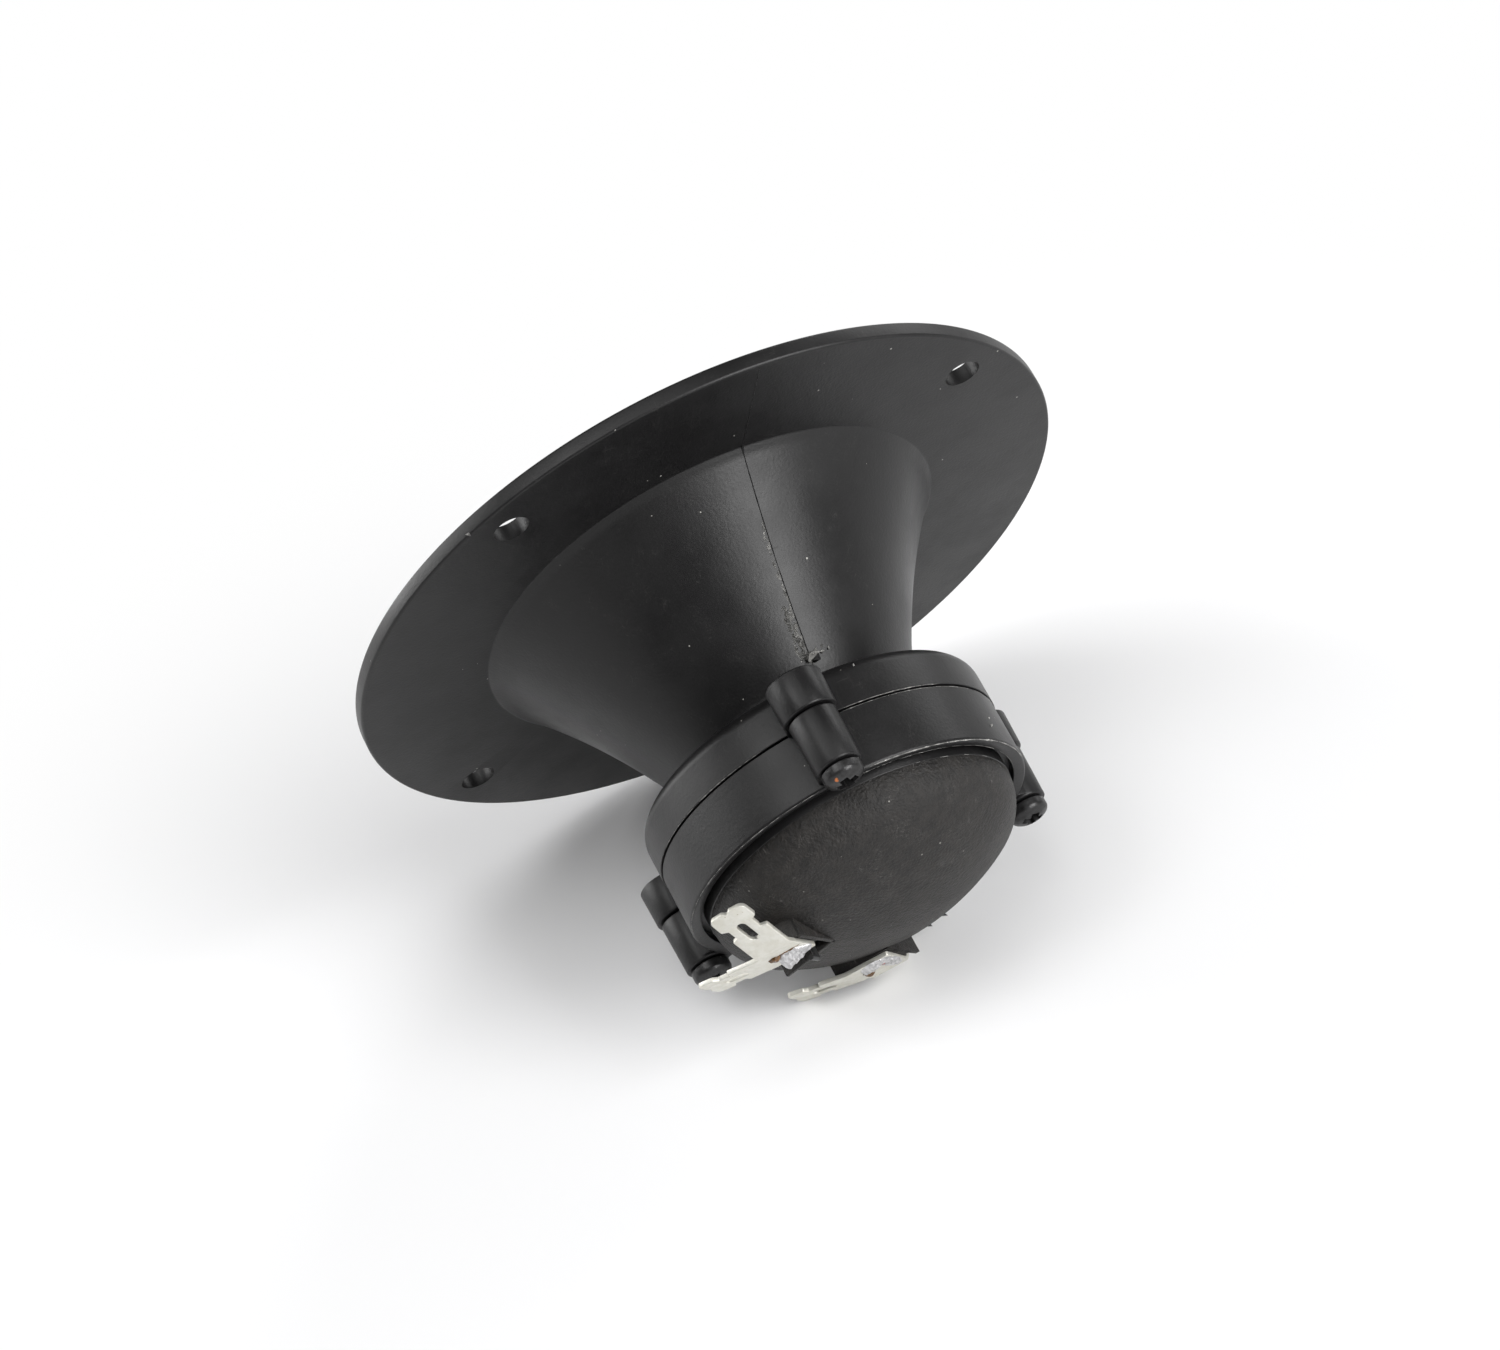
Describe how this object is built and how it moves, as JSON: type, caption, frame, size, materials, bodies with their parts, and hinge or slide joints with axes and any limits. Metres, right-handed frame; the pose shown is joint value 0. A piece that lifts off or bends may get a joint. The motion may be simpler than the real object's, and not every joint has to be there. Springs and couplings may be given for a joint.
{
  "type": "round flange horn tweeter with a piezo element in a rear housing",
  "caption": "Black round piezo horn tweeter with a flat flange, short exponential horn, domed rear housing and slotted solder terminals",
  "frame": {"origin": "centre of the raised bead's front plane, on the horn's axis", "axes": "+Z runs back along the horn from the mouth to the dome; +X and +Y lie in the flange plane, each midway between two mounting holes; units are millimetres in the source"},
  "size_m": [0.096, 0.096, 0.0554],
  "materials": {
    "black_plastic": "moulded black polystyrene with a fine satin texture",
    "gasket_paper": "pressed fibre",
    "edge_cloth": "doped cloth",
    "cone_paper": "pressed paper",
    "glue": "clear yellowed adhesive",
    "brass_sheet": "rolled brass sheet",
    "piezo_ceramic": "fired ceramic",
    "silver_film": "fired silver film",
    "solder": "bright tin solder with flux",
    "lead_red": "red wire insulation",
    "lead_black": "black wire insulation",
    "foam": "open-cell foam",
    "tinned_sheet": "tinned brass sheet, dull",
    "screw_steel": "black oxide steel"
  },
  "bodies": {
    "body": {"horn": "black_plastic", "rear_cover": "black_plastic", "phase_plug": "black_plastic", "gasket": "gasket_paper", "cone_edge": "edge_cloth", "lead_plate": "lead_red", "lead_disc": "lead_black", "damping_pad": "foam", "terminal_left": "tinned_sheet", "terminal_right": "tinned_sheet", "terminal_solder_left": "solder", "terminal_solder_right": "solder", "screw_1": "screw_steel", "screw_2": "screw_steel", "screw_3": "screw_steel"},
    "moving_unit": {"diaphragm_cone": "cone_paper", "glue_bead": "glue", "bender_plate": "brass_sheet", "ceramic_front": "piezo_ceramic", "ceramic_rear": "piezo_ceramic", "electrode_front": "silver_film", "electrode_rear": "silver_film", "inner_solder_plate": "solder", "inner_solder_disc": "solder"}
  },
  "joints": [
    {"name": "diaphragm_travel", "type": "slide", "parent": "body", "child": "moving_unit", "axis": [0, 0, 1], "range_m": [-0.0001, 0.0001], "stiffness_N_per_m": 300, "deforming": ["cone_edge", "lead_plate", "lead_disc"]}
  ]
}
